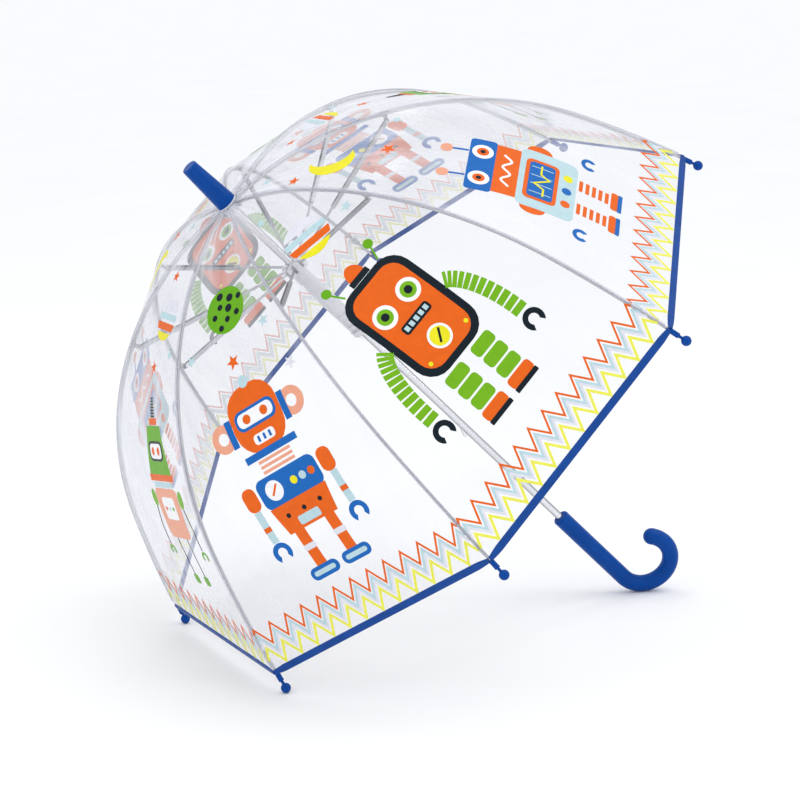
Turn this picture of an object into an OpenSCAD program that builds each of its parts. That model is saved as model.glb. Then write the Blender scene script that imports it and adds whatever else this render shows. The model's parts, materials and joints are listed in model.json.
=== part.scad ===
// Child's clear dome umbrella, open and lying on its rim tips and its hook.
// Millimetres. The umbrella is drawn about its own shaft (Z runs from the handle to the ferrule,
// the rim corners are at height 0), and lying() then lays it on the floor, which is Z = 0.

/* [Rib curve] */
// Length of the straight piece from each rib's eye
rib_straight = 9; // [8:0.5:10]
// Radius of the rib's curve over the crown
crown_bend_r = 323; // [318:1:328]
// Angle that the crown curve turns through
crown_sweep = 63.7; // [62:0.1:65]
// Radius of the rib's flatter curve down the side
side_bend_r = 1170; // [1100:10:1250]
// Slope of the rib at the rim
rim_slope = 69.8; // [69:0.1:71]
// Diameter of the rib wire
rib_d = 2.8; // [2.4:0.1:3]

/* [Canopy] */
// Gap between a rib's centre line and the film over it
film_gap = 2.3; // [2.2:0.05:2.6]
// Thickness of the film
film_t = 0.4; // [0.3:0.05:0.5]
// Width of the tape that binds the rim
binding_w = 7.6; // [6:0.2:9]
// Thickness of the binding
binding_t = 1.6; // [1.2:0.1:1.8]

/* [Linkage] */
// Radius of the ring that the rib and stretcher eyes turn on
pivot_r = 9; // [9:0.1:9.4]
// Distance out from the shaft at which the stretchers meet the ribs
joint_r = 173; // [160:1:180]
// Depth of the clip that holds the stretcher under the rib
clip_depth = 8; // [7:0.5:9]

/* [Shaft, runner and catches] */
// Outside diameter of the shaft tube
shaft_d = 8; // [8:0.1:8.2]
// Wall thickness of the shaft tube
shaft_wall = 0.8; // [0.6:0.1:0.9]
// Length of the runner, from its pivots to its lower end
runner_l = 103; // [98:1:108]
// Height of the middle of the lower catch
lower_catch_z = -67; // [-75:1:-60]

/* [Tips, ferrule and handle] */
// Diameter of the ball on each rib tip
ball_d = 10; // [9:0.5:11]
// Distance from the rim corner to the middle of the ball
ball_reach = 16.6; // [15:0.1:18]
// Length of the ferrule cap
ferrule_l = 53.4; // [45:1:60]
// Diameter of the handle
handle_d = 18.2; // [17:0.2:20]
// Height of the handle's upper end
handle_top_z = -223.3; // [-230:1:-215]
// Radius of the hook's bend
hook_r = 29.7; // [27:0.5:33]
// Angle that the hook turns through
hook_sweep = 214; // [190:1:220]

/* [How it lies] */
// Angle of the shaft above the floor
shaft_rise = 44.8; // [43:0.1:46]

/* [Hidden] */
$fn = 64;
count = 8;
step = 360 / count;
half_step = step / 2;
hook_angle = 0;
down_angle = 180 + half_step;

// The rib's centre line: [distance from the shaft, height]
notch_z = crown_bend_r * (1 - cos(crown_sweep)) + side_bend_r * (cos(crown_sweep) - cos(rim_slope));
crown_centre = [pivot_r + rib_straight, notch_z - crown_bend_r];
side_start = crown_centre + crown_bend_r * [sin(crown_sweep), cos(crown_sweep)];
side_centre = side_start - side_bend_r * [sin(crown_sweep), cos(crown_sweep)];
rim_corner = side_centre + side_bend_r * [sin(rim_slope), cos(rim_slope)];
rim_run = [cos(rim_slope), -sin(rim_slope)];
ball_at = rim_corner + ball_reach * rim_run;
rib_in_tip = 6;

// Where a stretcher meets its rib, and the two equal links that make it a folding triangle
joint_slope = asin((joint_r - crown_centre[0]) / crown_bend_r);
joint_on_rib = crown_centre + crown_bend_r * [sin(joint_slope), cos(joint_slope)];
joint_at = joint_on_rib - clip_depth * [sin(joint_slope), cos(joint_slope)];
stretcher_rise = notch_z - joint_at[1];
stretcher_l = norm([joint_at[0] - pivot_r, stretcher_rise]);
stretcher_angle = atan2(stretcher_rise, joint_at[0] - pivot_r);
runner_z = notch_z - 2 * stretcher_rise;
runner_low = runner_z - runner_l;

// Folding turns each rib and stretcher by fold_angle, which carries the runner this far down the shaft
fold_angle = 47;
runner_travel = 2 * stretcher_l * (sin(stretcher_angle + fold_angle) - sin(stretcher_angle));

// Small clearances and fittings
play = 0.05;
free = 0.3;
band_inset = 0.3;
wire_r = 0.6;
eye_r = 2.2;
eye_t = 1.6;
slot_w = rib_d + 2 * free;
slot_in = pivot_r - eye_r - 0.4;
hub_r = 12.5;
shaft_r = shaft_d / 2;
bore_r = shaft_r + 0.25;
rivet_r = 0.95;
plate_t = 2;
plate_r = 2.5;
cheek_t = 0.8;
cheek_in = plate_t / 2 + free;
channel_w = 2 * (cheek_in + cheek_t);
channel_h = 4;
catch_w = 1.6;
catch_out = 7.6;
keyway_w = catch_w + 0.6;
keyway_r = catch_out + 0.4;
ridge_r = 9.4;
catch_h = 11;
upper_catch_z = runner_low - catch_h / 2 - free;

notch_low = notch_z - 6.3;
notch_top = notch_z + 1.6;
film_hole = 5.2;
crown_parts = 20;
side_parts = 4;
side_part = (rim_slope - crown_sweep) / side_parts;
washer_z = notch_z + film_gap + film_t + 0.2;
washer_t = 1.6;
washer_r = 11;
ferrule_low = washer_z + washer_t + 0.1;
ferrule_low_r = 10.7;
ferrule_top_r = 8.2;
shaft_top = ferrule_low + ferrule_l - 16;
shaft_low = handle_top_z - 50;

// Laying it down: the floor touches two rim balls and the hook
ball_r = ball_d / 2;
handle_r = handle_d / 2;
lowest = ball_at[1] * sin(shaft_rise) - ball_at[0] * cos(half_step) * cos(shaft_rise) - ball_r;
hook_up = cos(shaft_rise) * cos(half_step);
hook_fall = hook_r * (norm([hook_up, sin(shaft_rise)]) - hook_up);
hook_z = (lowest + handle_r + hook_fall) / sin(shaft_rise);

// How far it reaches along the floor each way, so that the origin is under the middle of it
across = [cos(half_step) * sin(shaft_rise), cos(shaft_rise)];
hook_reach = hook_r * (across[0] + norm(across)) + handle_r - hook_z * across[1];
dome_reach = crown_centre * across + (crown_bend_r + film_gap + film_t) * norm(across);
box_centre_x = (hook_reach - dome_reach) / 2;

// Colours
metal = "lightgray";
steel = "silver";
blue = "royalblue";
pale = "gainsboro";
clear = [0.85, 0.9, 0.95, 0.4];

FIXED = ["shaft", "top_notch", "notch_wire", "notch_pin", "crown_washer", "ferrule_cap", "handle",
    "upper_catch", "lower_catch", "runner", "runner_wire"];

// ---- placing ----

module lying() {
    translate([-box_centre_x, 0, -lowest])
        rotate([0, shaft_rise - 90, 0])
            rotate([0, 0, -half_step])
                children();
}

// Stands a flat outline, drawn as [distance from the shaft, height], upright in the plane at an angle.
module upright(angle, thickness) {
    rotate([0, 0, angle])
        rotate([90, 0, 0])
            translate([0, 0, -thickness / 2])
                linear_extrude(height = thickness)
                    children();
}

// Puts children at a point of the upright plane, their X along a slope (degrees above level).
module at_slope(point, slope) {
    translate([point[0], 0, point[1]])
        rotate([0, -slope, 0])
            children();
}

module round_z(radius, height) {
    cylinder(r = radius, h = height);
}

// A round bar across the upright plane.
module cross_bar(radius, width) {
    rotate([90, 0, 0])
        cylinder(r = radius, h = width, center = true);
}

// Eight slots that the rib or stretcher eyes swing in, and the groove of their wire ring.
module eye_slots(low, top, ring_z) {
    for (n = [0:count - 1])
        rotate([0, 0, n * step])
            translate([slot_in, -slot_w / 2, low])
                cube([hub_r, slot_w, top - low]);
    wire_ring(ring_z, wire_r + play);
}

module wire_ring(ring_z, radius) {
    translate([0, 0, ring_z])
        rotate_extrude()
            translate([pivot_r, 0])
                circle(r = radius);
}

// ---- shaft and crown ----

module shaft() {
    color(steel)
        difference() {
            translate([0, 0, shaft_low])
                round_z(shaft_r, shaft_top - shaft_low);
            translate([0, 0, shaft_low - 1])
                round_z(shaft_r - shaft_wall, shaft_top - shaft_low + 2);
            for (z = [lower_catch_z, upper_catch_z])
                rotate([0, 0, down_angle])
                    translate([0, -catch_w / 2 - 0.2, z - catch_h / 2 - 2])
                        cube([shaft_r + 1, catch_w + 0.4, catch_h + 4]);
            notch_pin_hole();
        }
}

module notch_pin_hole() {
    rotate([0, 0, half_step])
        translate([0, 0, notch_z - 4.2])
            rotate([0, 90, 0])
                cylinder(r = 0.85, h = 3 * hub_r, center = true);
}

module top_notch() {
    color(pale)
        difference() {
            translate([0, 0, notch_low])
                round_z(hub_r, notch_top - notch_low);
            translate([0, 0, notch_low - 1])
                round_z(shaft_r + play, notch_top - notch_low + 2);
            eye_slots(notch_low - 1, notch_top + 1, notch_z);
            notch_pin_hole();
        }
}

module notch_wire() {
    color(steel)
        wire_ring(notch_z, wire_r);
}

module notch_pin() {
    color(steel)
        rotate([0, 0, half_step])
            translate([0, 0, notch_z - 4.2])
                rotate([0, 90, 0])
                    cylinder(r = 0.8, h = 2 * hub_r - 1, center = true);
}

module crown_washer() {
    color(pale)
        difference() {
            translate([0, 0, washer_z])
                round_z(washer_r, washer_t);
            translate([0, 0, washer_z - 1])
                round_z(shaft_r + play, washer_t + 2);
        }
}

module ferrule_cap() {
    edge = 1.6;
    top = ferrule_low + ferrule_l;
    color(blue)
        difference() {
            rotate_extrude()
                union() {
                    polygon([
                        [0, ferrule_low],
                        [ferrule_low_r, ferrule_low],
                        [ferrule_top_r, top - edge],
                        [ferrule_top_r - edge, top - edge],
                        [ferrule_top_r - edge, top],
                        [0, top]
                    ]);
                    translate([ferrule_top_r - edge, top - edge])
                        intersection() {
                            circle(r = edge);
                            square([2 * edge, 2 * edge]);
                        }
                }
            translate([0, 0, ferrule_low - 1])
                round_z(shaft_r + play, shaft_top - ferrule_low + 2);
        }
}

// ---- handle ----

module handle() {
    edge = 2;
    color(blue)
        difference() {
            union() {
                rotate_extrude()
                    union() {
                        polygon([
                            [0, hook_z + band_inset],
                            [handle_r, hook_z + band_inset],
                            [handle_r, handle_top_z - edge],
                            [handle_r - edge, handle_top_z - edge],
                            [handle_r - edge, handle_top_z],
                            [0, handle_top_z]
                        ]);
                        translate([handle_r - edge, handle_top_z - edge])
                            intersection() {
                                circle(r = edge);
                                square([2 * edge, 2 * edge]);
                            }
                    }
                at_slope([0, hook_z], 90)
                    band(handle_r);
                hook();
            }
            translate([0, 0, shaft_low - 2])
                round_z(shaft_r + play, handle_top_z - shaft_low + 4);
        }
}

// The hook is a round bar bent through hook_sweep, with a half ball on its end.
module hook() {
    inset = arc_angle(band_inset, hook_r);
    rotate([0, 0, hook_angle])
        translate([hook_r, 0, hook_z])
            rotate([90, 0, 0])
                rotate([0, 0, 180]) {
                    rotate([0, 0, inset])
                        rotate_extrude(angle = hook_sweep - 2 * inset)
                            translate([hook_r, 0])
                                circle(r = handle_r);
                    rotate([0, 0, hook_sweep])
                        translate([hook_r, 0, 0])
                            rotate([-90, 0, 0]) {
                                rotate([0, -90, 0])
                                    band(handle_r);
                                translate([0, 0, band_inset])
                                    half_ball(handle_r);
                            }
                }
}

module half_ball(radius) {
    rotate_extrude()
        intersection() {
            circle(r = radius);
            square([radius, radius]);
        }
}

// ---- runner and catches ----

module runner() {
    base_t = 3;
    slot_low = runner_z - 4.5;
    hub_top = runner_z + 4;
    grip_r = 10.2;
    sleeve_r = 7.2;
    color(pale)
        difference() {
            union() {
                translate([0, 0, runner_low])
                    round_z(sleeve_r, slot_low - runner_low);
                translate([0, 0, slot_low - base_t])
                    round_z(hub_r, hub_top - slot_low + base_t);
                translate([0, 0, runner_low])
                    rotate_extrude()
                        runner_grip(grip_r);
                rotate([0, 0, down_angle])
                    translate([0, -2.8, runner_low])
                        cube([ridge_r, 5.6, slot_low - runner_low - 1]);
            }
            translate([0, 0, runner_low - 1])
                round_z(bore_r, hub_top - runner_low + 2);
            eye_slots(slot_low, hub_top + 1, runner_z);
            rotate([0, 0, down_angle])
                translate([0, -keyway_w / 2, runner_low - 1])
                    cube([keyway_r, keyway_w, hub_top - runner_low + 2]);
            rotate([0, 0, down_angle])
                translate([shaft_r, -keyway_w / 2, lower_catch_z + runner_travel - catch_h / 2 - 1])
                    cube([hub_r, keyway_w, catch_h + 2]);
        }
}

// Two round collars that the fingers push on: [radius, height] above the runner's lower end.
module runner_grip(radius) {
    square([radius, 6]);
    translate([0, 10])
        square([radius - 0.8, 4]);
    translate([0, 26])
        square([radius - 1.4, 4]);
}

module runner_wire() {
    color(steel)
        wire_ring(runner_z, wire_r);
}

// A spring catch: a leaf inside the tube and a wedge that stands out of its slot.
// Its flat end faces up, or down if it is turned over.
module catch(z, turned_over) {
    color(steel)
        translate([0, 0, z])
            mirror([0, 0, turned_over ? 1 : 0])
                upright(down_angle, catch_w)
                    polygon([
                        [2, -22],
                        [2.7, -22],
                        [2.7, -catch_h / 2],
                        [4.3, -catch_h / 2],
                        [catch_out, catch_h / 2 - 2.5],
                        [catch_out, catch_h / 2],
                        [2, catch_h / 2]
                    ]);
}

module upper_catch() {
    catch(upper_catch_z, false);
}

module lower_catch() {
    catch(lower_catch_z, true);
}

// ---- ribs, stretchers and tips ----

module rib(n) {
    color(metal)
        rotate([0, 0, (n - 1) * step])
            difference() {
                union() {
                    translate([pivot_r, 0, notch_z])
                        cross_bar(eye_r, eye_t);
                    translate([pivot_r + 1.5, 0, notch_z])
                        rotate([0, 90, 0])
                            round_z(rib_d / 2, rib_straight - 1.5 - band_inset);
                    at_slope([crown_centre[0], notch_z], 0)
                        band(rib_d / 2);
                    bent_wire(
                        crown_centre, crown_bend_r,
                        arc_angle(band_inset, crown_bend_r), crown_sweep - arc_angle(band_inset, crown_bend_r)
                    );
                    at_slope(side_start, -crown_sweep)
                        band(rib_d / 2);
                    bent_wire(
                        side_centre, side_bend_r,
                        crown_sweep + arc_angle(band_inset, side_bend_r),
                        rim_slope + arc_angle(rib_in_tip, side_bend_r)
                    );
                    clip_plate();
                }
                translate([pivot_r, 0, notch_z])
                    cross_bar(wire_r + play, 2 * eye_t);
                translate([joint_at[0], 0, joint_at[1]])
                    cross_bar(rivet_r + play, 2 * channel_w);
            }
}

// A stretch of round wire bent about a centre, between two slopes.
module bent_wire(centre, radius, from, to) {
    translate([centre[0], 0, centre[1]])
        rotate([90, 0, 0])
            rotate([0, 0, 90 - to])
                rotate_extrude(angle = to - from)
                    translate([radius, 0])
                        circle(r = rib_d / 2);
}

// The angle that a length along an arc takes up.
function arc_angle(length, radius) = length / radius * 180 / PI;

// A hair-thin band, along X, that joins two stretches of bar. Each stops band_inset short of its middle.
module band(radius) {
    translate([-2 * band_inset, 0, 0])
        rotate([0, 90, 0])
            round_z(radius + play, 4 * band_inset);
}

// The clip: a plate that hangs under the rib, with the rivet's hole in it.
module clip_plate() {
    neck_w = 2 * plate_r - 1;
    translate([joint_at[0], 0, joint_at[1]])
        cross_bar(plate_r, plate_t);
    at_slope(joint_at, 90 - joint_slope)
        translate([0, -plate_t / 2, -neck_w / 2])
            cube([clip_depth + 0.5, plate_t, neck_w]);
    at_slope(joint_on_rib, -joint_slope)
        translate([-5, 0, 0])
            rotate([0, 90, 0])
                round_z(rib_d / 2 + 0.5, 10);
}

module rivet(n) {
    head_r = 1.9;
    head_t = 0.6;
    color(steel)
        rotate([0, 0, (n - 1) * step])
            translate([joint_at[0], 0, joint_at[1]]) {
                cross_bar(rivet_r, channel_w + 2 * head_t);
                for (side = [-1, 1])
                    translate([0, side * (channel_w / 2 + 0.1 + head_t / 2), 0])
                        cross_bar(head_r, head_t);
            }
}

// Drawn along X from its eye, then tilted up to the rib: a bar that becomes a channel.
module stretcher(n) {
    bar_h = 2.2;
    bar_end = 0.42 * stretcher_l;
    web_end = stretcher_l - plate_r - 1;
    cheek_end = stretcher_l + 2.4;
    color(metal)
        rotate([0, 0, (n - 1) * step])
            at_slope([pivot_r, runner_z], stretcher_angle)
                difference() {
                    union() {
                        cross_bar(eye_r, eye_t);
                        translate([1.2, -eye_t / 2, -bar_h / 2])
                            cube([bar_end, eye_t, bar_h]);
                        translate([bar_end - 6, -channel_w / 2, -channel_h / 2])
                            cube([web_end - bar_end + 6, channel_w, cheek_t]);
                        for (y = [-cheek_in - cheek_t, cheek_in])
                            translate([bar_end - 6, y, -channel_h / 2])
                                cube([cheek_end - bar_end + 6, cheek_t, channel_h]);
                        translate([bar_end - 6, -cheek_in - 0.1, -channel_h / 2])
                            cube([7, 2 * cheek_in + 0.2, channel_h]);
                    }
                    cross_bar(wire_r + play, 2 * eye_t);
                    translate([stretcher_l, 0, 0])
                        cross_bar(rivet_r + play, 2 * channel_w);
                }
}

module tip(n) {
    sleeve_r = 2.7;
    neck_r = 1.5;
    sleeve_from = -2;
    sleeve_to = 8;
    color(blue)
        rotate([0, 0, (n - 1) * step])
            at_slope(rim_corner, -rim_slope)
                rotate([0, 90, 0])
                    difference() {
                        union() {
                            translate([0, 0, sleeve_from])
                                round_z(sleeve_r, sleeve_to - sleeve_from);
                            round_z(neck_r, ball_reach);
                            translate([0, 0, ball_reach])
                                sphere(r = ball_r);
                        }
                        translate([0, 0, sleeve_from - 1])
                            round_z(rib_d / 2 + play, rib_in_tip + play + 1 - sleeve_from);
                    }
}

// ---- canopy ----

// The film's line over a rib, [distance from the shaft, height], at a distance above the rib's centre.
function film_line(gap) = concat(
    [[film_hole, notch_z + gap]],
    [for (i = [0:crown_parts]) crown_centre + (crown_bend_r + gap) * turned(i * crown_sweep / crown_parts)],
    [for (i = [1:side_parts]) side_centre + (side_bend_r + gap) * turned(crown_sweep + i * side_part)]
);
function turned(slope) = [sin(slope), cos(slope)];
function reversed(list) = [for (i = [len(list) - 1:-1:0]) list[i]];
function narrowed(list) = [for (p = list) [p[0] * cos(half_step), p[1]]];

// A gore is bent one way only, so it is one outline drawn straight across between two ribs.
module gore_outline() {
    line = film_gap + film_t / 2;
    rim = narrowed([side_centre + (side_bend_r + line) * turned(rim_slope)])[0];
    polygon(concat(narrowed(film_line(film_gap)), reversed(narrowed(film_line(film_gap + film_t)))));
    translate(rim)
        rotate(-rim_slope)
            translate([0.8 - binding_w, -binding_t / 2])
                square([binding_w, binding_t]);
}

module gore_half(n, side) {
    far = rim_corner[0] + 30;
    seam_gap = 0.15;
    rib_shift = 0.8;
    color(clear)
        difference() {
            rotate([0, 0, (n - 0.5) * step])
                mirror([0, side == "first" ? 0 : 1, 0])
                    intersection() {
                        rotate([90, 0, 0])
                            linear_extrude(height = far)
                                gore_outline();
                        translate([0, 0, -50])
                            linear_extrude(height = notch_z + 100)
                                polygon([
                                    [rib_shift, -seam_gap],
                                    [far, -seam_gap],
                                    [far, -(far - rib_shift) * tan(half_step)]
                                ]);
                    }
            tip_room(side == "first" ? n : n + 1);
        }
}

// Room at a rim corner for the rib tip's sleeve.
module tip_room(n) {
    rotate([0, 0, (n - 1) * step])
        at_slope(rim_corner, -rim_slope)
            translate([-10, 0, 0])
                rotate([0, 90, 0])
                    round_z(4.2, 20);
}

// ---- drawing ----

lying() {
    shaft();
    top_notch();
    notch_wire();
    notch_pin();
    crown_washer();
    ferrule_cap();
    handle();
    upper_catch();
    lower_catch();
    runner();
    runner_wire();
    for (n = [1:count]) {
        rib(n);
        rivet(n);
        stretcher(n);
        tip(n);
        for (side = ["first", "second"])
            gore_half(n, side);
    }
}
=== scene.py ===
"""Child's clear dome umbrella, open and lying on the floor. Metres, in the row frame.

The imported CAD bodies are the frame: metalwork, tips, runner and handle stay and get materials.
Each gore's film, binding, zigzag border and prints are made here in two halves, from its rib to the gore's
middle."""

import json
from math import cos, pi, radians, sin, tan

import bpy
import numpy as np
from mathutils import Matrix, Vector
from mathutils.geometry import delaunay_2d_cdt


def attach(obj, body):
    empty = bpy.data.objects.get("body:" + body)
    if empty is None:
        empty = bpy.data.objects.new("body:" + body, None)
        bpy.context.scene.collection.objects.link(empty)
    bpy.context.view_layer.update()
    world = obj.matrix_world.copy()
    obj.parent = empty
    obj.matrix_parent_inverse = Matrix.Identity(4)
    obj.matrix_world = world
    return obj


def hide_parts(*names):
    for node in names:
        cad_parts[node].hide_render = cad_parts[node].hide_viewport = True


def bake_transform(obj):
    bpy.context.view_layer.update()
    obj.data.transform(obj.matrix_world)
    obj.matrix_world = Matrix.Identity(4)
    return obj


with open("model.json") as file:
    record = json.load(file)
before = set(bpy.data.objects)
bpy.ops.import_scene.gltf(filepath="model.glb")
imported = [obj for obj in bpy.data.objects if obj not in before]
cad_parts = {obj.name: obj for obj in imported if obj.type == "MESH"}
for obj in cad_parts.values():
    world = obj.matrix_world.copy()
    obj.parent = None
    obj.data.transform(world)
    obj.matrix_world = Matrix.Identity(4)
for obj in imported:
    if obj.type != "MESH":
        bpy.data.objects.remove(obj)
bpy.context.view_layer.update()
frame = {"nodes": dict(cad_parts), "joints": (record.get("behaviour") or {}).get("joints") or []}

# ---------------------------------------------------------------- the umbrella's own frame

GORES = 8
HALF_STEP = pi / GORES

joints = {j["name"]: j for j in frame["joints"]}
fold_joints = ["fold"] + [f"fold_rib_{n}" for n in range(2, GORES + 1)]
hinges = [np.array(joints[name]["pos_m"]) for name in fold_joints]
crown = np.mean(hinges, axis=0)                      # where the ribs' hinge ring crosses the shaft
spokes = [(h - crown) / np.linalg.norm(h - crown) for h in hinges]
up = np.cross(spokes[0], spokes[2])                  # along the shaft, from the handle to the ferrule
up /= np.linalg.norm(up)

# The rib's curve, as in part.scad: a straight piece, the crown's bend and the side's flatter bend
HINGE_R = 0.009
CROWN_START = HINGE_R + 0.009
CROWN_BEND = 0.323
CROWN_SWEEP = radians(63.7)
SIDE_BEND = 1.170
RIM_SLOPE = radians(69.8)
CROWN_POINTS = 90
SIDE_POINTS = 40
FILM_OUT = 0.0025                                    # the film's middle, out from the rib's centre line
FILM_HOLE = 0.0052                                   # radius of its hole round the ferrule


def rib_curve(lift):
    """Points (distance from the shaft, height above the hinges) of the rib's curve, lifted outwards."""
    centre = np.array([CROWN_START, -CROWN_BEND])
    side_centre = centre + (CROWN_BEND - SIDE_BEND) * np.array([sin(CROWN_SWEEP), cos(CROWN_SWEEP)])
    points = [np.array([FILM_HOLE, lift])]
    for a in np.linspace(0, CROWN_SWEEP, CROWN_POINTS):
        points.append(centre + (CROWN_BEND + lift) * np.array([sin(a), cos(a)]))
    for a in np.linspace(CROWN_SWEEP, RIM_SLOPE, SIDE_POINTS)[1:]:
        points.append(side_centre + (SIDE_BEND + lift) * np.array([sin(a), cos(a)]))
    return np.array(points)


def distances_along(curve):
    """How far along a curve each of its points is."""
    steps = np.diff(curve, axis=0)
    return np.concatenate([[0], np.cumsum(np.hypot(steps[:, 0], steps[:, 1]))])


class GoreSheet:
    """A gore lies flat in (s, y): s along its middle from the crown, y across. It bends only along s."""

    def __init__(self):
        profile = rib_curve(FILM_OUT)
        profile[:, 0] *= cos(HALF_STEP)
        self.s = distances_along(profile)
        self.r, self.z = profile[:, 0], profile[:, 1]
        self.slope = np.arctan2(-np.gradient(self.z, self.s), np.gradient(self.r, self.s))
        self.length = float(self.s[-1])

    def half_width(self, s):
        return np.interp(s, self.s, self.r) * tan(HALF_STEP)

    def place(self, gore, s, y, lift=0.0):
        """The row-frame point of (s, y) on a gore, lifted outwards."""
        s, y, lift = np.broadcast_arrays(np.asarray(s, float), y, lift)
        slope = np.interp(s, self.s, self.slope)
        over = np.maximum(s - self.length, 0)
        r = np.interp(s, self.s, self.r) + over * np.cos(slope) + lift * np.sin(slope)
        z = np.interp(s, self.s, self.z) - over * np.sin(slope) + lift * np.cos(slope)
        out = spokes[gore - 1] + spokes[gore % GORES]
        out = out / np.linalg.norm(out)
        across = np.cross(up, out)
        return crown + r[..., None] * out + z[..., None] * up + y[..., None] * across


sheet = GoreSheet()
RIM = sheet.length

PLEATS = 3                                           # on each half gore, next to the crown
PLEAT_DEPTH = 0.0009
PLEAT_RUN = 0.055
WAVE_DEPTH = 0.0008
WAVE_EDGE = 0.05                                     # the waves fade over this length above the rim


def ripple(s, y):
    """The film's puckers: pleats that run out from the crown, and a slight pull towards the tips."""
    width = sheet.half_width(s)
    share = np.clip(np.abs(y) / np.maximum(width, 1e-6), 0, 1)
    near_crown = np.exp(-s / PLEAT_RUN)
    pleats = PLEAT_DEPTH * near_crown * (1 - np.cos(share * PLEATS * 2 * pi)) * np.clip(s / 0.012, 0, 1)
    wave = WAVE_DEPTH * np.sin(share * pi) ** 2 * (1 + np.sin(s * 31 + share * 2.1)) / 2
    edge = np.clip((RIM - s) / WAVE_EDGE, 0, 1)
    return pleats + wave * edge * np.clip(s / 0.08, 0, 1)


# ---------------------------------------------------------------- meshes and materials

def new_mesh(name, points, faces, materials, indices=None, smooth=True, uv=None):
    """A mesh object. indices are its faces' materials, and uv is a place in the gore for each point."""
    mesh = bpy.data.meshes.new(name)
    mesh.from_pydata([tuple(p) for p in points], [], [tuple(f) for f in faces])
    for material in materials:
        mesh.materials.append(material)
    if indices is not None:
        mesh.polygons.foreach_set("material_index", np.asarray(indices, np.int32))
    mesh.polygons.foreach_set("use_smooth", [smooth] * len(mesh.polygons))
    if uv is not None:
        layer = mesh.uv_layers.new(name="gore")
        loops = np.zeros(len(mesh.loops), np.int32)
        mesh.loops.foreach_get("vertex_index", loops)
        layer.data.foreach_set("uv", np.asarray(uv, np.float32)[loops].ravel())
    mesh.validate()
    obj = bpy.data.objects.new(name, mesh)
    bpy.context.scene.collection.objects.link(obj)
    return obj


def bend_with_gore(obj, s, y):
    """Sets each point to its share of the way from the rib to the gore's middle, bakes the object's
    transform into the mesh, then puts the placed points back.
    """
    share = 1 - np.abs(y) / np.maximum(sheet.half_width(s), 1e-6)
    placed = np.array([v.co[:] for v in obj.data.vertices])
    flat = np.zeros_like(placed)
    flat[:, 0] = np.clip(share, 0, 1)
    obj.data.vertices.foreach_set("co", flat.ravel())
    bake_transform(obj)
    obj.data.vertices.foreach_set("co", placed.ravel())
    obj.data.update()


class Graph:
    """A material's node tree, with short calls for its nodes and links."""

    def __init__(self, name):
        self.material = bpy.data.materials.new(name)
        self.material.use_nodes = True
        self.tree = self.material.node_tree
        self.tree.nodes.clear()

    def add(self, kind, **values):
        node = self.tree.nodes.new("ShaderNode" + kind)
        for key, value in values.items():
            if key in node.inputs:
                node.inputs[key].default_value = value
            else:
                setattr(node, key, value)
        return node

    def join(self, out_node, out_name, in_node, in_name):
        self.tree.links.new(out_node.outputs[out_name], in_node.inputs[in_name])

    def noise(self, scale, detail):
        noise = self.add("TexNoise", Scale=scale, Detail=detail)
        self.join(self.add("TexCoord"), "Object", noise, "Vector")
        return noise

    def ramp(self, source, out_name, low, high, low_at=0.3, high_at=0.7):
        ramp = self.add("ValToRGB")
        ramp.color_ramp.elements[0].position = low_at
        ramp.color_ramp.elements[1].position = high_at
        ramp.color_ramp.elements[0].color = low if len(low) == 4 else (*low, 1)
        ramp.color_ramp.elements[1].color = high if len(high) == 4 else (*high, 1)
        self.join(source, out_name, ramp, "Fac")
        return ramp

    def bump(self, source, out_name, shader, strength, distance):
        bump = self.add("Bump", Strength=strength, Distance=distance)
        self.join(source, out_name, bump, "Height")
        self.join(bump, "Normal", shader, "Normal")

    def finish(self, shader, socket="BSDF"):
        output = self.add("OutputMaterial")
        self.join(shader, socket, output, "Surface")
        return self.material


def grey(v):
    return (v, v, v, 1)


def shade(colour, factor):
    return tuple(min(1, c * factor) for c in colour)


def moulded_plastic(name, colour, roughness):
    """Smooth, slightly glossy plastic for the handle, ferrule cap and tips."""
    g = Graph(name)
    shader = g.add("BsdfPrincipled", IOR=1.46)
    shader.inputs["Specular IOR Level"].default_value = 0.12
    tone = g.ramp(g.noise(60, 3), "Fac", shade(colour, 0.95), shade(colour, 1.05))
    g.join(tone, "Color", shader, "Base Color")
    rough = g.ramp(g.noise(420, 2), "Fac", grey(roughness - 0.04), grey(roughness + 0.06))
    g.join(rough, "Color", shader, "Roughness")
    g.bump(g.noise(300, 2), "Fac", shader, 0.02, 0.0001)
    return g.finish(shader)


def plated_metal(name, colour, roughness, edge):
    """Plated steel with a painted dark reflection: darker where it turns away, standing in for a dark
    surround in a white studio.
    """
    g = Graph(name)
    shader = g.add("BsdfPrincipled", Metallic=1.0)
    streaks = g.noise(500, 3)
    tone = g.ramp(streaks, "Fac", shade(colour, 0.95), shade(colour, 1.04))
    turning_away = g.add("LayerWeight", Blend=0.5)
    # painted reflection: the base colour darkens towards the silhouette, down to edge times its colour
    painted_edge_reflection = g.ramp(turning_away, "Facing", grey(1), grey(edge), 0.18, 0.72)
    both = g.add("VectorMath", operation="MULTIPLY")
    g.join(tone, "Color", both, 0)
    g.join(painted_edge_reflection, "Color", both, 1)
    g.join(both, "Vector", shader, "Base Color")
    rough = g.ramp(g.noise(180, 3), "Fac", grey(roughness - 0.03), grey(roughness + 0.06))
    g.join(rough, "Color", shader, "Roughness")
    g.bump(streaks, "Fac", shader, 0.02, 0.0001)
    return g.finish(shader)


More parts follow.
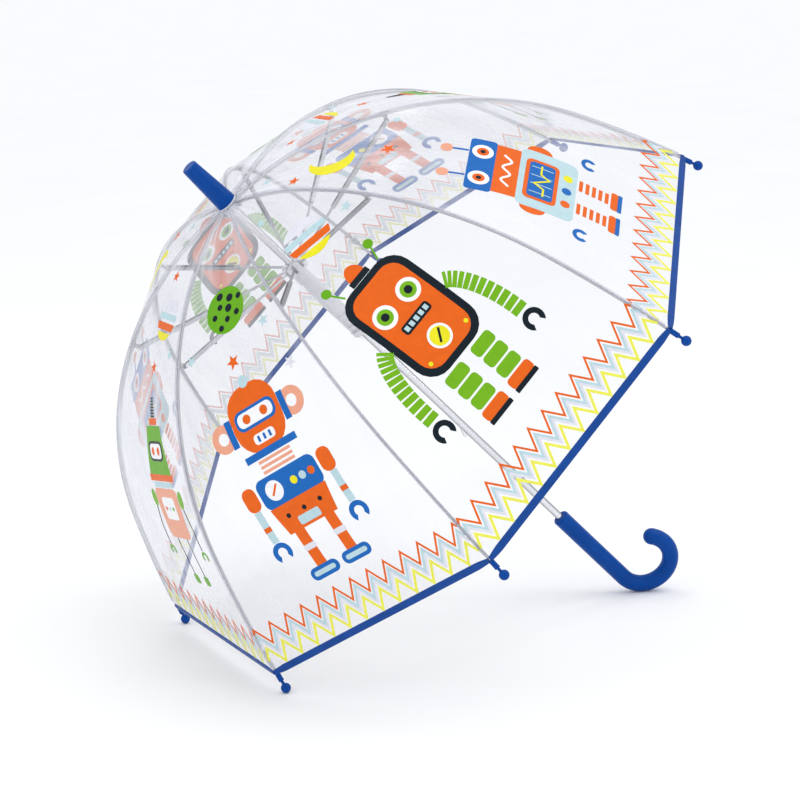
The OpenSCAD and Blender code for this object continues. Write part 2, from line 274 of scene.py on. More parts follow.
def frosted_plastic(name, colour):
    """Milky plastic for the runner and the crown's pieces."""
    g = Graph(name)
    shader = g.add("BsdfPrincipled", IOR=1.46)
    shader.inputs["Subsurface Weight"].default_value = 0.25
    shader.inputs["Subsurface Radius"].default_value = (0.004, 0.004, 0.004)
    tone = g.ramp(g.noise(90, 3), "Fac", shade(colour, 0.94), shade(colour, 1.03))
    g.join(tone, "Color", shader, "Base Color")
    rough = g.ramp(g.noise(300, 2), "Fac", grey(0.3), grey(0.42))
    g.join(rough, "Color", shader, "Roughness")
    g.bump(g.noise(700, 2), "Fac", shader, 0.05, 0.0002)
    return g.finish(shader)


def clear_film(name, haze, tint, gloss_at_edge):
    """Thin clear sheet: light passes straight through, less so where it is seen edge on."""
    g = Graph(name)
    through = g.add("BsdfTransparent")
    through.inputs["Color"].default_value = tint
    skin = g.add("BsdfPrincipled", Roughness=0.10, IOR=1.5)
    tone = g.ramp(g.noise(9, 4), "Fac", (0.74, 0.74, 0.80), (0.90, 0.90, 0.95))
    g.join(tone, "Color", skin, "Base Color")
    where = g.add("UVMap", uv_map="gore")

    def streaks(along, across, detail):
        mapping = g.add("Mapping")
        mapping.inputs["Scale"].default_value = (along, across, 1)
        noise = g.add("TexNoise", Scale=1.0, Detail=detail)
        g.join(where, "UV", mapping, "Vector")
        g.join(mapping, "Vector", noise, "Vector")
        return noise

    g.bump(streaks(12, 55, 3.0), "Fac", skin, 0.35, 0.002)
    edge = g.add("LayerWeight", Blend=0.35)
    amount = g.add("MapRange")
    amount.inputs["To Min"].default_value = haze
    amount.inputs["To Max"].default_value = gloss_at_edge
    g.join(edge, "Facing", amount, "Value")
    patch = g.ramp(streaks(5, 30, 4.0), "Fac", grey(0.45), grey(2.0), 0.36, 0.72)
    scaled = g.add("Math", operation="MULTIPLY")
    g.join(amount, "Result", scaled, 0)
    g.join(patch, "Color", scaled, 1)
    mix = g.add("MixShader")
    g.join(scaled, "Value", mix, 0)
    g.join(through, "BSDF", mix, 1)
    g.join(skin, "BSDF", mix, 2)
    return g.finish(mix, "Shader")


def ink(name, colour, backing):
    """Screen-print ink. The backing side is the white under-print with the colour showing through."""
    g = Graph(name)
    shader = g.add("BsdfPrincipled", IOR=1.5)
    shader.inputs["Specular IOR Level"].default_value = 0.12
    if backing:
        keep, white = (0.42, 0.53) if "border" in name else (0.72, 0.20)
        colour = tuple(keep * c + white for c in colour)
    tone = g.ramp(g.noise(140, 4), "Fac", shade(colour, 0.95), shade(colour, 1.04))
    g.join(tone, "Color", shader, "Base Color")
    rough = g.ramp(g.noise(260, 2), "Fac", grey(0.3), grey(0.45))
    g.join(rough, "Color", shader, "Roughness")
    return g.finish(shader)


def tape(name, colour):
    """Woven binding tape, a little uneven in colour and height."""
    g = Graph(name)
    shader = g.add("BsdfPrincipled", IOR=1.48)
    shader.inputs["Specular IOR Level"].default_value = 0.2
    tone = g.ramp(g.noise(70, 3), "Fac", shade(colour, 0.88), shade(colour, 1.1))
    g.join(tone, "Color", shader, "Base Color")
    rough = g.ramp(g.noise(200, 2), "Fac", grey(0.38), grey(0.55))
    g.join(rough, "Color", shader, "Roughness")
    g.bump(g.noise(1400, 3), "Fac", shader, 0.15, 0.0004)
    return g.finish(shader)


BLUE = (0.0010, 0.056, 0.295)
INKS = {
    "orange": (0.77, 0.125, 0.010),
    "blue": (0.010, 0.13, 0.46),
    "navy": (0.006, 0.013, 0.020),
    "green": (0.17, 0.43, 0.012),
    "leaf": (0.13, 0.39, 0.010),
    "sky": (0.48, 0.65, 0.70),
    "yellow": (0.80, 0.73, 0.018),
    "lilac": (0.72, 0.72, 0.79),
    "peach": (0.80, 0.36, 0.24),
    "white": (0.88, 0.88, 0.90),
}
BORDER = ("orange", "sky", "lilac", "yellow")
INKS.update({"border_" + name: INKS[name] for name in BORDER})
INKS["border_yellow"] = (0.82, 0.80, 0.10)
blue_plastic = moulded_plastic("moulded_blue", BLUE, 0.17)
binding_tape = tape("binding_tape", (0.005, 0.058, 0.28))
frosted = frosted_plastic("frosted_plastic", (0.72, 0.73, 0.77))
# the last number is how dark the painted reflection at the steel's edges goes
bright_steel = plated_metal("bright_steel", (0.80, 0.81, 0.84), 0.16, 0.20)
rib_steel = plated_metal("rib_steel", (0.56, 0.57, 0.60), 0.36, 0.5)
film_material = clear_film("clear_film", 0.07, (0.938, 0.938, 0.945, 1), 0.72)
seam_material = clear_film("welded_seam", 0.12, (0.90, 0.90, 0.92, 1), 0.60)
INK_NAMES = list(INKS)
ink_materials = [ink("ink_" + n, INKS[n], False) for n in INK_NAMES]
ink_materials += [ink("ink_back_" + n, INKS[n], True) for n in INK_NAMES]


# ---------------------------------------------------------------- the CAD pieces' materials

def dress(nodes, material):
    """Gives CAD nodes their material."""
    for name in nodes:
        obj = frame["nodes"][name]
        obj.data.materials.clear()
        obj.data.materials.append(material)


numbered = range(1, GORES + 1)
dress(["handle", "ferrule_cap"] + [f"tip_{n}" for n in numbered], blue_plastic)
dress(["runner", "top_notch", "crown_washer"], frosted)
dress(["shaft", "notch_wire", "notch_pin", "runner_wire", "upper_catch", "lower_catch"], bright_steel)
dress([f"rivet_{n}" for n in numbered], bright_steel)
dress([f"rib_{n}" for n in numbered] + [f"stretcher_{n}" for n in numbered], rib_steel)


# ---------------------------------------------------------------- film, binding and seams

SIDES = (("first", -1), ("second", 1))
FILM_ROWS = 110
FILM_COLUMNS = 26
BINDING_W = 0.0076
BINDING_T = 0.0017
BINDING_PAST_RIM = 0.0008
BINDING_STATIONS = 46
BINDING_AROUND = 14
TIP_GAP = 0.0012                                     # the tape stops short of the rib's tip
PINCH = 0.42                                         # share of its width that it loses there
PINCH_RUN = 0.016
SEAM_HALF = 0.0017
SEAM_T = 0.0003
SEAM_RIDGE = 0.0005                                  # how much higher its middle line is
SEAM_OUT = 0.0006                                    # how far it lies outside the film
SEAM_START = 0.012
SEAM_STOP = 0.009
SEAM_STATIONS = 120


def film_half(gore, side, sign):
    """The clear sheet from the gore's middle line to its rib, from the crown to inside the binding."""
    s_values = np.linspace(0, RIM - BINDING_W / 2, FILM_ROWS)
    shares = np.linspace(0, 1, FILM_COLUMNS)
    s = np.repeat(s_values, FILM_COLUMNS)
    y = sign * np.tile(shares, FILM_ROWS) * sheet.half_width(s)
    points = sheet.place(gore, s, y, ripple(s, y))
    faces = []
    for i in range(FILM_ROWS - 1):
        for j in range(FILM_COLUMNS - 1):
            a = i * FILM_COLUMNS + j
            quad = (a, a + 1, a + FILM_COLUMNS + 1, a + FILM_COLUMNS)
            faces.append(quad if sign < 0 else quad[::-1])
    obj = new_mesh(f"film_{gore}_{side}", points, faces, [film_material], uv=np.column_stack([s, y]))
    bend_with_gore(obj, s, y)
    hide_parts(f"gore_{gore}_{side}")


def binding_half(gore, side, sign):
    """Folded tape over the rim: a rounded flat section that is pinched towards the tip."""
    stations, around = BINDING_STATIONS, BINDING_AROUND
    width = float(sheet.half_width(RIM))
    s, y, lift, faces = [], [], [], []
    for i in range(stations):
        along = i / (stations - 1) * (width - TIP_GAP)
        pinch = 1 - PINCH * np.clip((along - width + PINCH_RUN) / PINCH_RUN, 0, 1) ** 1.5
        for k in range(around):
            a = 2 * pi * k / around
            flat = np.sign(cos(a)) * abs(cos(a)) ** 0.6
            s.append(RIM + BINDING_PAST_RIM - BINDING_W / 2 + flat * BINDING_W / 2 * pinch)
            lift.append(np.sign(sin(a)) * abs(sin(a)) ** 0.8 * BINDING_T / 2 * (2 - pinch))
            y.append(sign * along)
    for i in range(stations - 1):
        for k in range(around):
            a, b = i * around + k, i * around + (k + 1) % around
            quad = (a, b, b + around, a + around)
            faces.append(quad if sign > 0 else quad[::-1])
    ends = [tuple(range(around)), tuple(range((stations - 1) * around, stations * around))]
    faces.append(ends[0][::-1] if sign > 0 else ends[0])
    faces.append(ends[1] if sign > 0 else ends[1][::-1])
    s, y, lift = np.array(s), np.array(y), np.array(lift)
    obj = new_mesh(f"binding_{gore}_{side}", sheet.place(gore, s, y, lift), faces, [binding_tape])
    for edge in obj.data.edges:
        i, j = edge.vertices
        if i // around == j // around and i // around in (0, stations - 1):
            edge.use_edge_sharp = True
    bend_with_gore(obj, s, y)
    return obj


def seam(rib):
    """The welded lap of two gores over a rib: a narrow strip that rides on the rib."""
    outward = spokes[rib - 1]
    across = np.cross(up, outward)
    profile = rib_curve(FILM_OUT + SEAM_OUT)
    length = distances_along(profile)
    s = np.linspace(SEAM_START, length[-1] - SEAM_STOP, SEAM_STATIONS)
    r, z = np.interp(s, length, profile[:, 0]), np.interp(s, length, profile[:, 1])
    slope = np.arctan2(-np.gradient(z, s), np.gradient(r, s))
    points, faces = [], []
    section = [(-SEAM_HALF, 0), (0, SEAM_RIDGE), (SEAM_HALF, 0),
               (SEAM_HALF, SEAM_T), (0, SEAM_RIDGE + SEAM_T), (-SEAM_HALF, SEAM_T)]
    for i in range(SEAM_STATIONS):
        grow = min(1.0, 0.35 + s[i] / 0.05)
        for u, h in section:
            h = h - abs(u) * 0.38 * sin(slope[i])
            points.append(crown + (r[i] + h * sin(slope[i])) * outward
                          + (z[i] + h * cos(slope[i])) * up + u * grow * across)
    count = len(section)
    for i in range(SEAM_STATIONS - 1):
        for k in range(count):
            a, b = i * count + k, i * count + (k + 1) % count
            faces.append((a, a + count, b + count, b))
    faces.append(tuple(range(count)))
    faces.append(tuple(range(SEAM_STATIONS * count - 1, (SEAM_STATIONS - 1) * count - 1, -1)))
    uv = np.column_stack([np.repeat(s, count), np.zeros(len(points))])
    obj = new_mesh(f"seam_{rib}", points, faces, [seam_material], uv=uv)
    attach(obj, f"rib_{rib}")


# ---------------------------------------------------------------- prints

LAYER = 0.00014                                       # thickness that each layer of ink adds on each side
MESH_STEP = 0.006
MESH_GAP = MESH_STEP * 0.3                            # inner points keep this far from an edge


class Art:
    """Flat shapes for one gore, each (outline, ink name, layer), in (s, y)."""

    def __init__(self):
        self.shapes = []

    def add(self, outline, colour, layer=1):
        self.shapes.append((np.asarray(outline, float), colour, layer))


def resample(outline):
    """The outline with no edge longer than MESH_STEP, so that it bends with the film."""
    points = []
    for a, b in zip(outline, np.roll(outline, -1, axis=0)):
        parts = max(1, int(np.ceil(np.hypot(*(b - a)) / MESH_STEP)))
        for k in range(parts):
            points.append(a + (b - a) * k / parts)
    return np.array(points)


def inside(outline, points):
    """Which points lie inside the outline."""
    x, y = points[:, 0], points[:, 1]
    hit = np.zeros(len(points), bool)
    for (x0, y0), (x1, y1) in zip(outline, np.roll(outline, -1, axis=0)):
        crosses = (y0 > y) != (y1 > y)
        with np.errstate(divide="ignore", invalid="ignore"):
            hit ^= crosses & (x < (x1 - x0) * (y - y0) / (y1 - y0) + x0)
    return hit


def triangles(outline):
    """Triangles that fill an outline, cut along the gore's middle line y = 0."""
    ring = resample(outline)
    low, high = ring.min(0), ring.max(0)
    extra = []
    for i, s in enumerate(np.arange(low[0] + MESH_STEP / 2, high[0], MESH_STEP)):
        for y in np.arange(low[1] + MESH_STEP * (0.5 + 0.25 * (i % 2)), high[1], MESH_STEP):
            extra.append((s, y))
    extra = np.array(extra).reshape(-1, 2)
    extra = extra[inside(ring, extra)]
    gaps = np.hypot(*(extra[:, None] - ring[None]).transpose(2, 0, 1))
    extra = extra[gaps.min(axis=1) > MESH_GAP]
    extra = extra[np.abs(extra[:, 1]) > MESH_GAP]
    points = [Vector(p) for p in ring] + [Vector(p) for p in extra]
    edges = [(i, (i + 1) % len(ring)) for i in range(len(ring))]
    if low[1] < 0 < high[1]:
        middle = np.arange(low[0] - 0.001, high[0] + 0.001 + MESH_STEP, MESH_STEP)
        start = len(points)
        points += [Vector((s, 0.0)) for s in middle]
        edges += [(start + i, start + i + 1) for i in range(len(middle) - 1)]
    scaled = [p * 1000 for p in points]
    found, _, faces, *_ = delaunay_2d_cdt(scaled, edges, [], 0, 1e-5)
    found = np.array([p[:] for p in found]) / 1000
    faces = np.array([f for f in faces if len(f) == 3])
    middles = found[faces].mean(1)
    a, b, c = found[faces[:, 0]], found[faces[:, 1]], found[faces[:, 2]]
    area = np.abs((b - a)[:, 0] * (c - a)[:, 1] - (b - a)[:, 1] * (c - a)[:, 0]) / 2
    return found, faces[inside(ring, middles) & (area > 1e-10)]


def plate(found, faces, layer, sign):
    """A closed thin plate from triangles on one side of the gore's middle."""
    faces = faces[np.sign(found[faces].mean(1)[:, 1]) == sign]
    if not len(faces):
        return None
    used, faces = np.unique(faces, return_inverse=True)
    faces = faces.reshape(-1, 3)
    p = found[used]
    a, b, c = p[faces[:, 0]], p[faces[:, 1]], p[faces[:, 2]]
    turn = (b - a)[:, 0] * (c - a)[:, 1] - (b - a)[:, 1] * (c - a)[:, 0]
    faces[turn < 0] = faces[turn < 0][:, ::-1]
    count = len(p)
    edges = dict.fromkeys((f[i], f[(i + 1) % 3]) for f in faces for i in range(3))
    walls = [(i, i + count, j + count, j) for i, j in edges if (j, i) not in edges]
    s = np.concatenate([p[:, 0], p[:, 0]])
    y = np.concatenate([p[:, 1], p[:, 1]])
    lift = np.concatenate([np.full(count, layer * LAYER), np.full(count, -layer * LAYER)])
    return s, y, lift, faces, faces[:, ::-1] + count, walls


def print_half(gore, side, sign, shapes, fills):
    """All the ink on one half gore, as one piece. fills are the shapes' triangles."""
    s, y, lift, faces, indices = [], [], [], [], []
    base = 0
    for (_, colour, layer), fill in zip(shapes, fills):
        made = plate(*fill, layer, sign)
        if made is None:
            continue
        ps, py, pl, outer, inner, walls = made
        index = INK_NAMES.index(colour)
        for group, slot in ((outer, index), (walls, index), (inner, index + len(INK_NAMES))):
            for f in group:
                faces.append(tuple(int(i) + base for i in f))
                indices.append(slot)
        s.append(ps)
        y.append(py)
        lift.append(pl)
        base += len(ps)
    s, y, lift = np.concatenate(s), np.concatenate(y), np.concatenate(lift)
    y = np.where(np.sign(y) == sign, y, 0)
    points = sheet.place(gore, s, y, ripple(s, y) + lift)
    obj = new_mesh(f"prints_{gore}_{side}", points, faces, ink_materials, indices, smooth=False)
    bend_with_gore(obj, s, y)
    return obj


# Shapes are drawn in a figure's own frame: x across, y up towards the crown, then set on the gore.

def ring_points(x, y, rx, ry=None, parts=28, start=0.0, end=2 * pi):
    ry = rx if ry is None else ry
    angles = np.linspace(start, end, parts, endpoint=abs(end - start) < 2 * pi - 1e-6)
    return [(x + rx * cos(a), y + ry * sin(a)) for a in angles]


def box_points(x0, y0, x1, y1, radius=0.0):
    if radius <= 0:
        return [(x0, y0), (x1, y0), (x1, y1), (x0, y1)]
    corners = ((x1 - radius, y0 + radius, -pi / 2), (x1 - radius, y1 - radius, 0),
               (x0 + radius, y1 - radius, pi / 2), (x0 + radius, y0 + radius, pi))
    out = []
    for cx, cy, a in corners:
        out += ring_points(cx, cy, radius, radius, 6, a, a + pi / 2)
    return out


SPIKES = 5
STAR_INNER = 0.42


def star_points(x, y, outer, inner):
    out = []
    for k in range(2 * SPIKES):
        a = pi / 2 + pi * k / SPIKES
        r = outer if k % 2 == 0 else inner
        out.append((x + r * cos(a), y + r * sin(a)))
    return out


def stroke_points(path, width):
    """The outline of a line of that width along a path."""
    path = np.asarray(path, float)
    steps = np.diff(path, axis=0)
    steps /= np.hypot(steps[:, 0], steps[:, 1])[:, None]
    normals = np.column_stack([-steps[:, 1], steps[:, 0]])
    left, right = [], []
    for i, p in enumerate(path):
        a, b = normals[max(i - 1, 0)], normals[min(i, len(normals) - 1)]
        n = a + b
        n = n / (np.dot(n, n) / 2) if np.dot(n, n) > 0.3 else b
        left.append(p + n * width / 2)
        right.append(p - n * width / 2)
    return left + right[::-1]


class Figure:
    """Draws in millimetres about a point on the gore, turned, sized and widened, for the gore's art."""

    def __init__(self, art, height, across, turn=0.0, size=1.0, wide=1.0):
        self.art, self.height, self.across = art, height, across
        self.turn, self.size, self.wide = turn, size, wide

    def draw(self, outline, colour, layer=1):
        points = []
        for x, y in outline:
            x, y = x * self.size * self.wide, y * self.size
            px = x * cos(self.turn) - y * sin(self.turn)
            py = x * sin(self.turn) + y * cos(self.turn)
            points.append((RIM - (self.height + py) / 1000, (self.across + px) / 1000))
        self.art.add(points, colour, layer)

    def both(self, outline, colour, layer=1):
        """The outline and its mirror image."""
        self.draw(outline, colour, layer)
        self.draw([(-x, y) for x, y in outline], colour, layer)

    def disc(self, x, y, r, colour, layer=1, ry=None):
        self.draw(ring_points(x, y, r, ry), colour, layer)

    def block(self, x0, y0, x1, y1, colour, layer=1, radius=0.0):
        self.draw(box_points(x0, y0, x1, y1, radius), colour, layer)

    def star(self, x, y, r, colour):
        self.draw(star_points(x, y, r, r * STAR_INNER), colour)

    def line(self, path, width, colour, layer=1):
        self.draw(stroke_points(path, width), colour, layer)

    def target(self, x, y, r, colours, layer):
        for k, colour in enumerate(colours):
            self.disc(x, y, r * (1 - k / len(colours)), colour, layer + k)


EDGE_MARGIN = 1.6                                     # the zigzags stop this far from a rib, in mm


def zigzag_border(art):
    """Four zigzag lines that run above the binding from rib to rib."""
    pitches = 13
    pitch = 2 * float(sheet.half_width(RIM)) / pitches * 1000
    amplitude = 19.5
    lines = (("yellow", 2.7, 8.6), ("lilac", 2.4, 17.4), ("sky", 2.4, 22.6), ("orange", 2.0, 30.4))
    for colour, width, low in lines:
        path = []
        for k in range(2 * pitches + 3):
            across = (k - pitches - 1) * pitch / 2
            path.append((across, low + (amplitude if k % 2 == 0 else 0.0)))
        strip_inside_gore(art, path, width, "border_" + colour)


def strip_inside_gore(art, path, width, colour):
    """Adds a line, cut off at the gore's two edges."""
    def edge(height):
        return float(sheet.half_width(RIM - height / 1000)) * 1000 - EDGE_MARGIN

    kept = []
    for (x0, h0), (x1, h1) in zip(path, path[1:]):
        start, end = 0.0, 1.0
        for sign in (-1, 1):
            past0, past1 = sign * x0 - edge(h0), sign * x1 - edge(h1)
            if past0 > 0 and past1 > 0:
                start, end = 1.0, 0.0
            elif past0 > 0:
                start = max(start, past0 / (past0 - past1))
            elif past1 > 0:
                end = min(end, past0 / (past0 - past1))
        if end > start:
            kept.append([(x0 + (x1 - x0) * t, h0 + (h1 - h0) * t) for t in (start, end)])
    line = [kept[0][0]] + [b for _, b in kept]
    Figure(art, 0, 0).line(line, width, colour)


def planet(art, height, across, r, colour, spot):
    """A disc with spots on a spiral, every third one larger."""
    f = Figure(art, height, across)
    f.disc(0, 0, r, colour)
    for k in range(9):
        a = 2.4 * k
        share = 0.85 * ((k + 0.4) / 9) ** 0.5
        f.disc(r * share * cos(a), r * share * sin(a), r * (0.13 if k % 3 else 0.17), spot, 2)


def striped_planet(art, height, across, r, turn=0.0):
    """Bands of a disc, between heights given as shares of its radius."""
    f = Figure(art, height, across, turn)
    bands = ((-1, -0.62, "yellow"), (-0.5, -0.15, "orange"), (0.0, 0.3, "sky"), (0.42, 0.95, "lilac"))
    for low, high, colour in bands:
        right = [(r * cos(a), r * sin(a)) for a in np.linspace(np.arcsin(low), np.arcsin(high), 8)]
        left = [(-x, y) for x, y in right[::-1]]
        f.draw(right + (left if low > -1 else left[:-1]), colour)


def moon(art, height, across, r, turn):
    f = Figure(art, height, across, turn)
    outer = ring_points(0, 0, r, r, 22, pi * 1.04, pi * 1.96)
    inner = ring_points(0, r * 0.42, r * 0.93, r * 0.78, 22, pi * 1.93, pi * 1.07)
    f.draw(outer + inner, "yellow")


def stars(art, places):
    for height, across, r, colour, turn in places:
        Figure(art, height, across, turn).star(0, 0, r, colour)


def claw(f, x, y, r, turn, colour):
    """An open grip: three quarters of a ring, open in the direction turn."""
    outer = ring_points(x, y, r, r, 20, turn + 0.7, turn + 2 * pi - 0.7)
    inner = ring_points(x, y, 0.5 * r, 0.5 * r, 16, turn + 2 * pi - 0.9, turn + 0.9)
    f.draw(outer + inner, colour)


def robot_drum(f):
    """Round-cornered body that is its own head, with hose arms and a beacon on top."""
    f.block(-40, 0, 40, 117, "navy", 1, 22)
    f.block(-32.5, 7, 32.5, 110, "orange", 2, 16)
    for side in (-1, 1):
        f.target(side * 17, 76, 12, ("white", "green", "navy"), 3)
        f.disc(side * 26, 16, 2.2, "yellow", 3)
        f.line([(side * 24, 118), (side * 30, 132)], 2.0, "leaf")
        f.disc(side * 31, 136, 5, "leaf", 2)
        hose = [(side * (36 + 30 * sin(t)), 58 - 78 * (1 - cos(t))) for t in np.linspace(0.25, pi / 2, 13)]
        for (x0, y0), (x1, y1) in zip(hose, hose[1:]):
            f.line([(x0, y0), (x0 + 0.8 * (x1 - x0), y0 + 0.8 * (y1 - y0))], 16, "green")
        claw(f, side * 67, -32, 11, -pi / 2, "navy")
        for k in range(3):
            low = -16 - 15 * k
            f.block(side * 19 - 13, low, side * 19 + 13, low + 13, "green", 1, 4)
        f.block(side * 19 - 15, -60, side * 19 + 15, -48, "orange", 1, 4)
        f.block(side * 19 - 15, -64, side * 19 + 15, -59, "navy", 2, 1)
    f.block(-18, 48, 18, 58, "navy", 3, 3)
    for k in range(5):
        f.block(-15.4 + 6.6 * k, 50.4, -11 + 6.6 * k, 55.6, "sky", 4)
    f.disc(0, 26, 12, "white", 3)
    f.disc(0, 26, 9.5, "yellow", 4)
    f.line([(-4, 21), (5, 32)], 2.2, "navy", 5)
    f.block(-12, 117.5, 12, 124, "navy", 1)
    f.draw(ring_points(0, 124, 10, 14, 16, 0, pi), "orange", 2)


def robot_dome(f):
    """Round-shouldered head with a visor over a belted body."""
    f.block(-30, 54, 30, 120, "orange", 1, 24)
    f.disc(0, 123, 6, "sky", 2)
    f.block(-32, 50, 32, 57, "blue", 2)
    f.block(-25, 79, 25, 99, "blue", 2, 8)
    f.block(-22, 82, 22, 96, "white", 3, 6)
    f.block(-13, 62, 13, 72, "white", 2, 4)
    for k in range(3):
        f.block(-8.4 + 7 * k, 64, -5.6 + 7 * k, 70, "blue", 3)
        f.block(-20, 35 + 5.2 * k, 20, 38 + 5.2 * k, "peach")
        f.disc(6 + 11 * k, 18, 4, ("yellow", "sky", "orange")[k], 2)
        f.disc(-20 + 20 * k, -9, 2.4, "navy", 3)
    f.block(-37, 2, 37, 33, "blue", 1, 8)
    f.disc(-19, 18, 10, "white", 2)
    f.line([(-23, 14), (-14, 23)], 2.2, "orange", 3)
    f.draw([(-35, 3), (35, 3), (30, -26), (-30, -26)], "orange", 2)
    f.block(-13, -23, 13, -14, "sky", 3, 2)
    for side in (-1, 1):
        f.disc(side * 11, 89, 4.6, "orange", 4)
        f.disc(side * 44, 83, 14, "peach")
        f.disc(side * 44, 83, 6, "white", 2)
        f.block(side * 34 - 3.5, 69, side * 34 + 3.5, 97, "blue", 2)
        f.block(side * 48 - 8, 8, side * 48 + 8, 32, "orange", 1, 7)
        f.block(side * 49 - 4, -26, side * 49 + 4, 8, "sky")
        f.block(side * 49 - 4, -14, side * 49 + 4, -9, "orange", 2)
        claw(f, side * 49, -37, 10.5, -pi / 2, "blue")
        f.block(side * 19 - 6, -64, side * 19 + 6, -26, "orange")
        f.block(side * 19 - 7, -47, side * 19 + 7, -41, "lilac", 2, 2)
        f.block(side * 20 - 17, -77, side * 20 + 17, -64, "blue", 2, 6)
        f.block(side * 20 - 13, -73, side * 20 + 13, -68, "sky", 3, 2.4)


def robot_block(f):
    """Wide square head over a body with an oscilloscope screen, on banded legs."""
    f.block(-40, 83, 40, 109, "blue", 1, 4)
    f.block(-37, 59, 37, 83, "orange")
    wave = [(x, 71 + 4 * sin(x / 3.2)) for x in np.linspace(-24, 24, 33)]
    f.line(wave, 2.6, "white", 2)
    f.block(-44, 0, 44, 59, "sky", 1, 8)
    f.block(-31, 19, 31, 53, "orange", 2, 6)
    f.block(-27, 23, 27, 49, "blue", 3, 4)
    for k in range(4):
        f.block(-20 + 13 * k, 25, -19 + 13 * k, 47, "sky", 4)
    f.line([(-23, 33), (-12, 33), (-6, 43), (4, 28), (10, 37), (23, 37)], 2.0, "yellow", 5)
    for x, colour in ((-20, "orange"), (0, "blue"), (20, "yellow")):
        f.disc(x, 9.5, 5, colour, 2)
    f.both(ring_points(44, 41, 9, 13, 14, -pi / 2, pi / 2), "orange")
    for side in (-1, 1):
        f.disc(side * 21, 96, 10.5, "white", 2)
        f.disc(side * 21, 96, 6, "orange", 3)
        f.disc(side * 21, 96, 2.6, "navy", 4)
        claw(f, side * 56, -10, 8.5, -pi / 2, "blue")
        for k in range(5):
            f.block(side * 18 - 8, -6.5 - 7 * k, side * 18 + 8, -2.5 - 7 * k, "orange")
        f.block(side * 18 - 13, -45, side * 18 + 13, -37, "orange", 2, 3)
        f.block(side * 18 - 13, -49, side * 18 + 13, -44.4, "blue", 3, 1)
        f.block(side * 20 - 1.2, 109.5, side * 20 + 1.2, 128, "blue")
        f.disc(side * 20, 131, 6, "peach", 2)


def robot_cone(f):
    """Narrow head with a spring on top, and thin limbs."""
    for k in range(7):
        f.block(-4 + 0.3 * k, 118 + 3.5 * k, 4 - 0.3 * k, 120.4 + 3.5 * k, "navy")
    f.block(-8, 109, 8, 117, "orange")
    f.draw([(-14, 108), (14, 108), (24, 50), (-24, 50)], "leaf")
    f.block(-15, 66, 15, 90, "navy", 2, 7)
    f.block(-12.5, 69, 12.5, 87, "white", 3, 5)
    f.block(-26, 42, 26, 50, "orange", 2)
    f.block(-20, 34, 20, 41, "sky")
    f.block(-25, -30, 25, 33, "peach", 1, 7)
    f.block(-14, -6, 14, 22, "white", 2, 4)
    for k in range(3):
        f.disc(-8 + 8 * k, 8, 2.4, ("orange", "sky", "leaf")[k], 3)
    for side in (-1, 1):
        f.disc(side * 6, 78, 3, "orange", 4, ry=5)
        f.disc(side * 31, 20, 5, "green", 1, ry=11)
        f.line([(side * 32, 9), (side * 38, -16), (side * 40, -42)], 1.6, "navy")
        claw(f, side * 41, -50, 7, -pi / 2, "leaf")
        f.line([(side * 12, -30.5), (side * 13, -80)], 1.6, "navy")
        f.block(side * 13 - 5, -92, side * 13 + 5, -80, "leaf", 2, 2)


def gore_art(gore):
    """The prints on a gore. Four designs go round twice; heights are from the rim, in millimetres."""
    art = Art()
    zigzag_border(art)
    kind = gore % 4
    if kind == 1:
        robot_cone(Figure(art, 157, 31, 0.165, 0.837, 1.6))
        striped_planet(art, 352, 15, 21)
        stars(art, ((303, 9, 7, "orange", 0.3), (395, -4, 6, "orange", 0.1), (321, 44, 6, "sky", 0.6)))
    elif kind == 2:
        robot_dome(Figure(art, 139, 3.5))
        planet(art, 338, 5, 24, "leaf", "navy")
        stars(art, ((284, 0, 8, "orange", 0.2), (254, 62, 7, "lilac", 0.5), (305, 47, 6.5, "sky", 0.1),
                    (308, -48, 6, "sky", 0.4)))
    elif kind == 3:
        robot_drum(Figure(art, 140, -5))
        striped_planet(art, 335, 1, 24, -0.25)
        stars(art, ((322, 46, 6.5, "sky", 0.2), (398, -8, 6, "sky", 0.6), (300, -44, 5, "lilac", 0.0)))
    else:
        robot_block(Figure(art, 115, -12))
        moon(art, 358, -4, 24, -1.35)
        stars(art, ((302, 2, 8, "orange", 0.3), (395, -24, 6.5, "orange", 0.7), (430, -6, 6, "sky", 0.1),
                    (300, 50, 6, "sky", 0.4)))
    return art


for gore in numbered:
    shapes = gore_art(gore).shapes
    fills = [triangles(outline) for outline, _, _ in shapes]
    for side, sign in SIDES:
        binding = binding_half(gore, side, sign)
        prints = print_half(gore, side, sign, shapes, fills)
        film_half(gore, side, sign)
for rib in numbered:
    seam(rib)


# ---------------------------------------------------------------- floor, light and camera

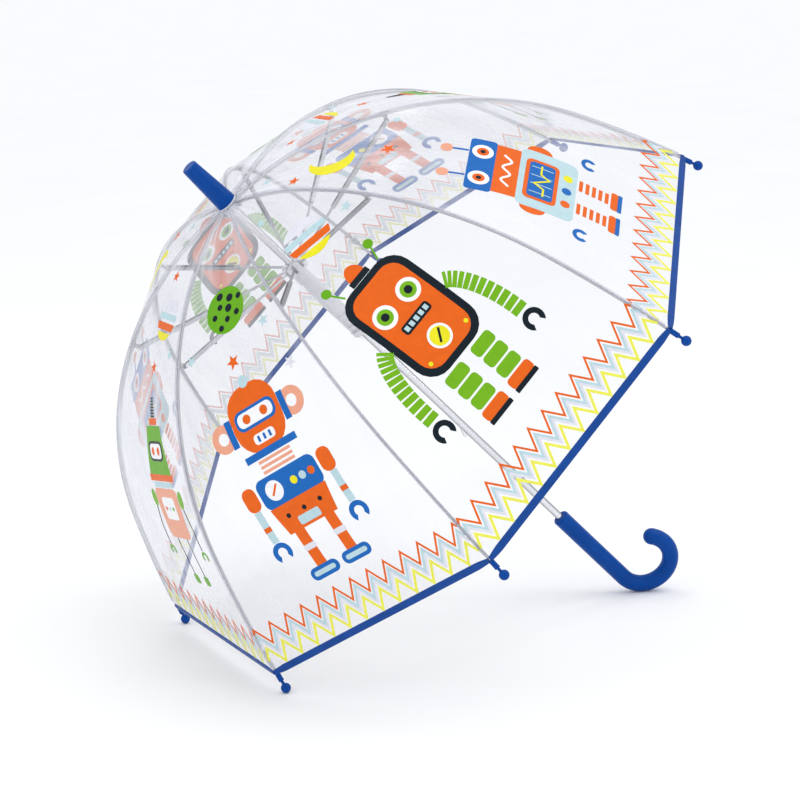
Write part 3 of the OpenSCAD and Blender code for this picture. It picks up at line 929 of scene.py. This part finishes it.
def studio():
    """A pale floor in broad, even light, with three strips for the highlights."""
    g = Graph("floor")
    shader = g.add("BsdfPrincipled", Roughness=0.6)
    tone = g.ramp(g.noise(3, 2), "Fac", (0.93, 0.935, 0.945), (0.95, 0.953, 0.96))
    g.join(tone, "Color", shader, "Base Color")
    g.finish(shader)
    side = 30.0
    corners = [(-side, -side, 0), (side, -side, 0), (side, side, 0), (-side, side, 0)]
    floor = new_mesh("floor", corners, [(0, 1, 2, 3)], [g.material], smooth=False)

    world = bpy.data.worlds.new("studio")
    world.use_nodes = True
    world.node_tree.nodes["Background"].inputs["Color"].default_value = (0.95, 0.975, 1.0, 1)
    world.node_tree.nodes["Background"].inputs["Strength"].default_value = 0.87
    bpy.context.scene.world = world

    def light(name, kind, place, aim, power, **values):
        data = bpy.data.lights.new(name, kind)
        data.energy = power
        for key, value in values.items():
            setattr(data, key, value)
        obj = bpy.data.objects.new(name, data)
        obj.location = place
        obj.rotation_euler = (Vector(aim) - Vector(place)).to_track_quat("-Z", "Y").to_euler()
        bpy.context.scene.collection.objects.link(obj)

    middle = (0, 0, 0.25)
    light("sky_panel", "SUN", (0.9, -0.7, 2.6), middle, 0.72, angle=radians(50), color=(1.0, 0.98, 0.95))
    light("left_strip", "AREA", (-2.2, -1.2, 1.7), middle, 9, shape="RECTANGLE", size=0.14, size_y=1.5)
    light("right_strip", "AREA", (2.3, -1.6, 1.5), middle, 6, shape="RECTANGLE", size=0.14, size_y=1.4)
    light("top_strip", "AREA", (-0.3, 0.9, 2.6), middle, 6, shape="RECTANGLE", size=1.8, size_y=0.3)


def camera():
    """The photograph's view, fitted to the umbrella's rim tips, shaft ends, hook and ribs."""
    data = bpy.data.cameras.new("camera")
    data.sensor_width = 36.0
    data.lens = 107.8
    data.clip_end = 100
    obj = bpy.data.objects.new("camera", data)
    place = Vector((-1.0610, -2.2037, 0.7179))
    ahead = Vector((0.41822, 0.88816, -0.19044))
    right = Vector((0.90208, -0.43068, -0.02756))
    upward = right.cross(ahead)
    obj.matrix_world = Matrix.Translation(place) @ Matrix((right, upward, -ahead)).transposed().to_4x4()
    bpy.context.scene.collection.objects.link(obj)
    bpy.context.scene.camera = obj


studio()
camera()
bpy.context.scene.view_settings.view_transform = "Standard"

bpy.context.view_layer.update()
